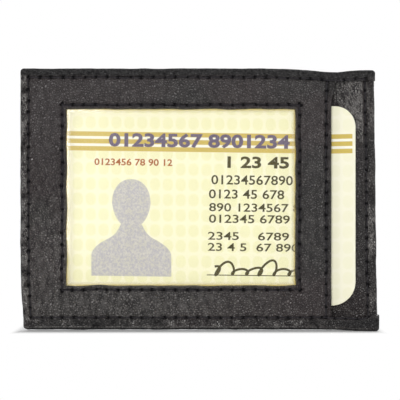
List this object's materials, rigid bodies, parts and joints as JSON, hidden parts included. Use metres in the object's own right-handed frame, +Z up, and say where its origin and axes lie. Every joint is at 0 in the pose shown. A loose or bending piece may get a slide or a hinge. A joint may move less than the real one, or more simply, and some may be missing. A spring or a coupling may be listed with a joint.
{
  "type": "money clip wallet",
  "caption": "Slim leather card wallet with a clear ID window, a card that slides out of the side mouth, and a hinged spring clip for banknotes on the back.",
  "frame": {"origin": "middle of the foot of the object's box, at the lower long edge on which the wallet stands", "axes": "+X along the wallet towards the pocket's mouth, +Z up, the window faces -Y and the clip is on the +Y side"},
  "size_m": [0.0962, 0.0132, 0.071],
  "materials": {
    "leather": "black pebbled leather, semi-matt, turned and sewn edges",
    "film": "clear flexible film, glossy",
    "card": "pale yellow printed card, satin",
    "board": "brown fibre board, matt",
    "clip_steel": "nickel plated steel, polished",
    "spring_steel": "tempered spring steel, satin"
  },
  "bodies": {
    "wallet": {"front_panel": "leather", "window_film": "film", "pocket_wall": "leather", "core_board": "board", "back_panel": "leather", "clip_base": "clip_steel", "clip_spring": "spring_steel", "hinge_pin": "clip_steel", "rivet_1": "clip_steel", "rivet_2": "clip_steel", "rivet_washer_1": "spring_steel", "rivet_washer_2": "spring_steel"},
    "card": {"id_card": "card"},
    "arm": {"clip_arm": "clip_steel"}
  },
  "joints": [
    {"name": "card_slide", "type": "slide", "parent": "wallet", "child": "card", "axis": [1, 0, 0], "range_m": [-0.001, 0.0785]},
    {"name": "arm_hinge", "type": "hinge", "parent": "wallet", "child": "arm", "pos_m": [-0.02429, 0.00443, 0.03549], "axis": [0, 0, 1], "range_deg": [0, 85], "stiffness_Nm_per_rad": 0.08, "springref_deg": -57.3}
  ]
}
